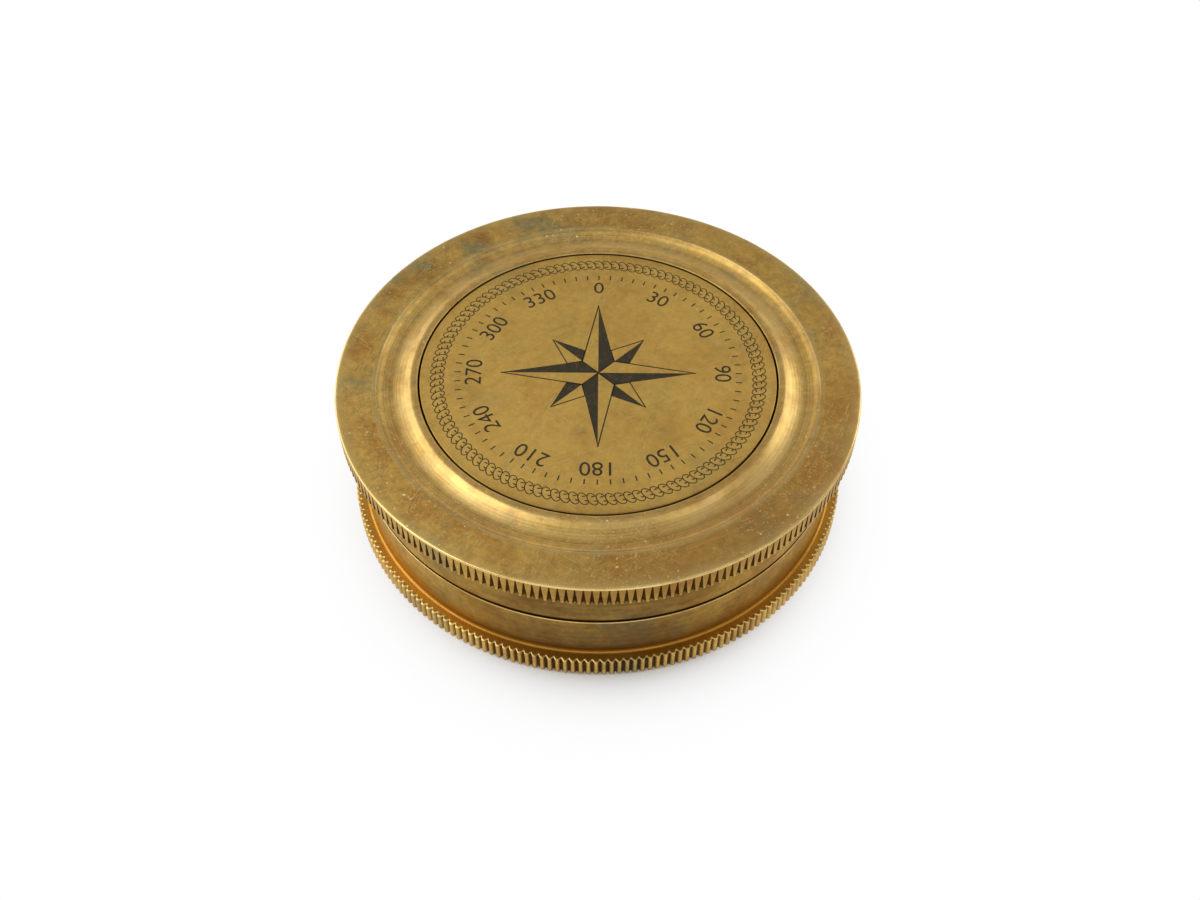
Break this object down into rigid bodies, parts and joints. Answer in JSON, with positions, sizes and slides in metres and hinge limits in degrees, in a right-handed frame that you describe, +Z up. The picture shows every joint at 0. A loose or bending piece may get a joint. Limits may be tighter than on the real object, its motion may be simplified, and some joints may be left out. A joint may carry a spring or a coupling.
{
  "type": "pocket compass",
  "caption": "Round brass pocket compass with a knurled screw-on lid, a turned cove round an inset disc, a knurled foot and a needle that turns under glass.",
  "frame": {"origin": "centre of the underside", "axes": "+Z up along the axis of the case, +Y towards the north mark of the dial"},
  "size_m": [0.076, 0.076, 0.0217],
  "materials": {
    "aged_brass": "turned and antiqued, satin",
    "disc_brass": "rolled sheet, satin, engraved and filled black",
    "turned_brass": "turned, bright",
    "dial_enamel": "cream enamel, matt",
    "blue_steel": "heat-blued",
    "bright_steel": "ground",
    "clear_glass": "clear, flat",
    "jewel": "polished"
  },
  "bodies": {
    "case": {"base_case": "aged_brass", "dial_plate": "dial_enamel", "dial_screw_west": "turned_brass", "dial_screw_east": "turned_brass", "pivot_post": "turned_brass", "pivot_pin": "bright_steel", "degree_ring": "turned_brass", "cover_glass": "clear_glass", "glass_snap_ring": "turned_brass"},
    "lid": {"lid_shell": "aged_brass", "lid_disc": "disc_brass", "lid_inner_plate": "turned_brass"},
    "needle": {"needle_blade": "blue_steel", "needle_cap": "turned_brass", "jewel_bearing": "jewel"}
  },
  "joints": [
    {"name": "lid_lift", "type": "slide", "parent": "case", "child": "lid", "axis": [0, 0, 1], "range_m": [0, 0.04]},
    {"name": "needle_spin", "type": "hinge", "parent": "case", "child": "needle", "pos_m": [0, 0, 0.0086], "axis": [0, 0, 1], "continuous": true}
  ]
}
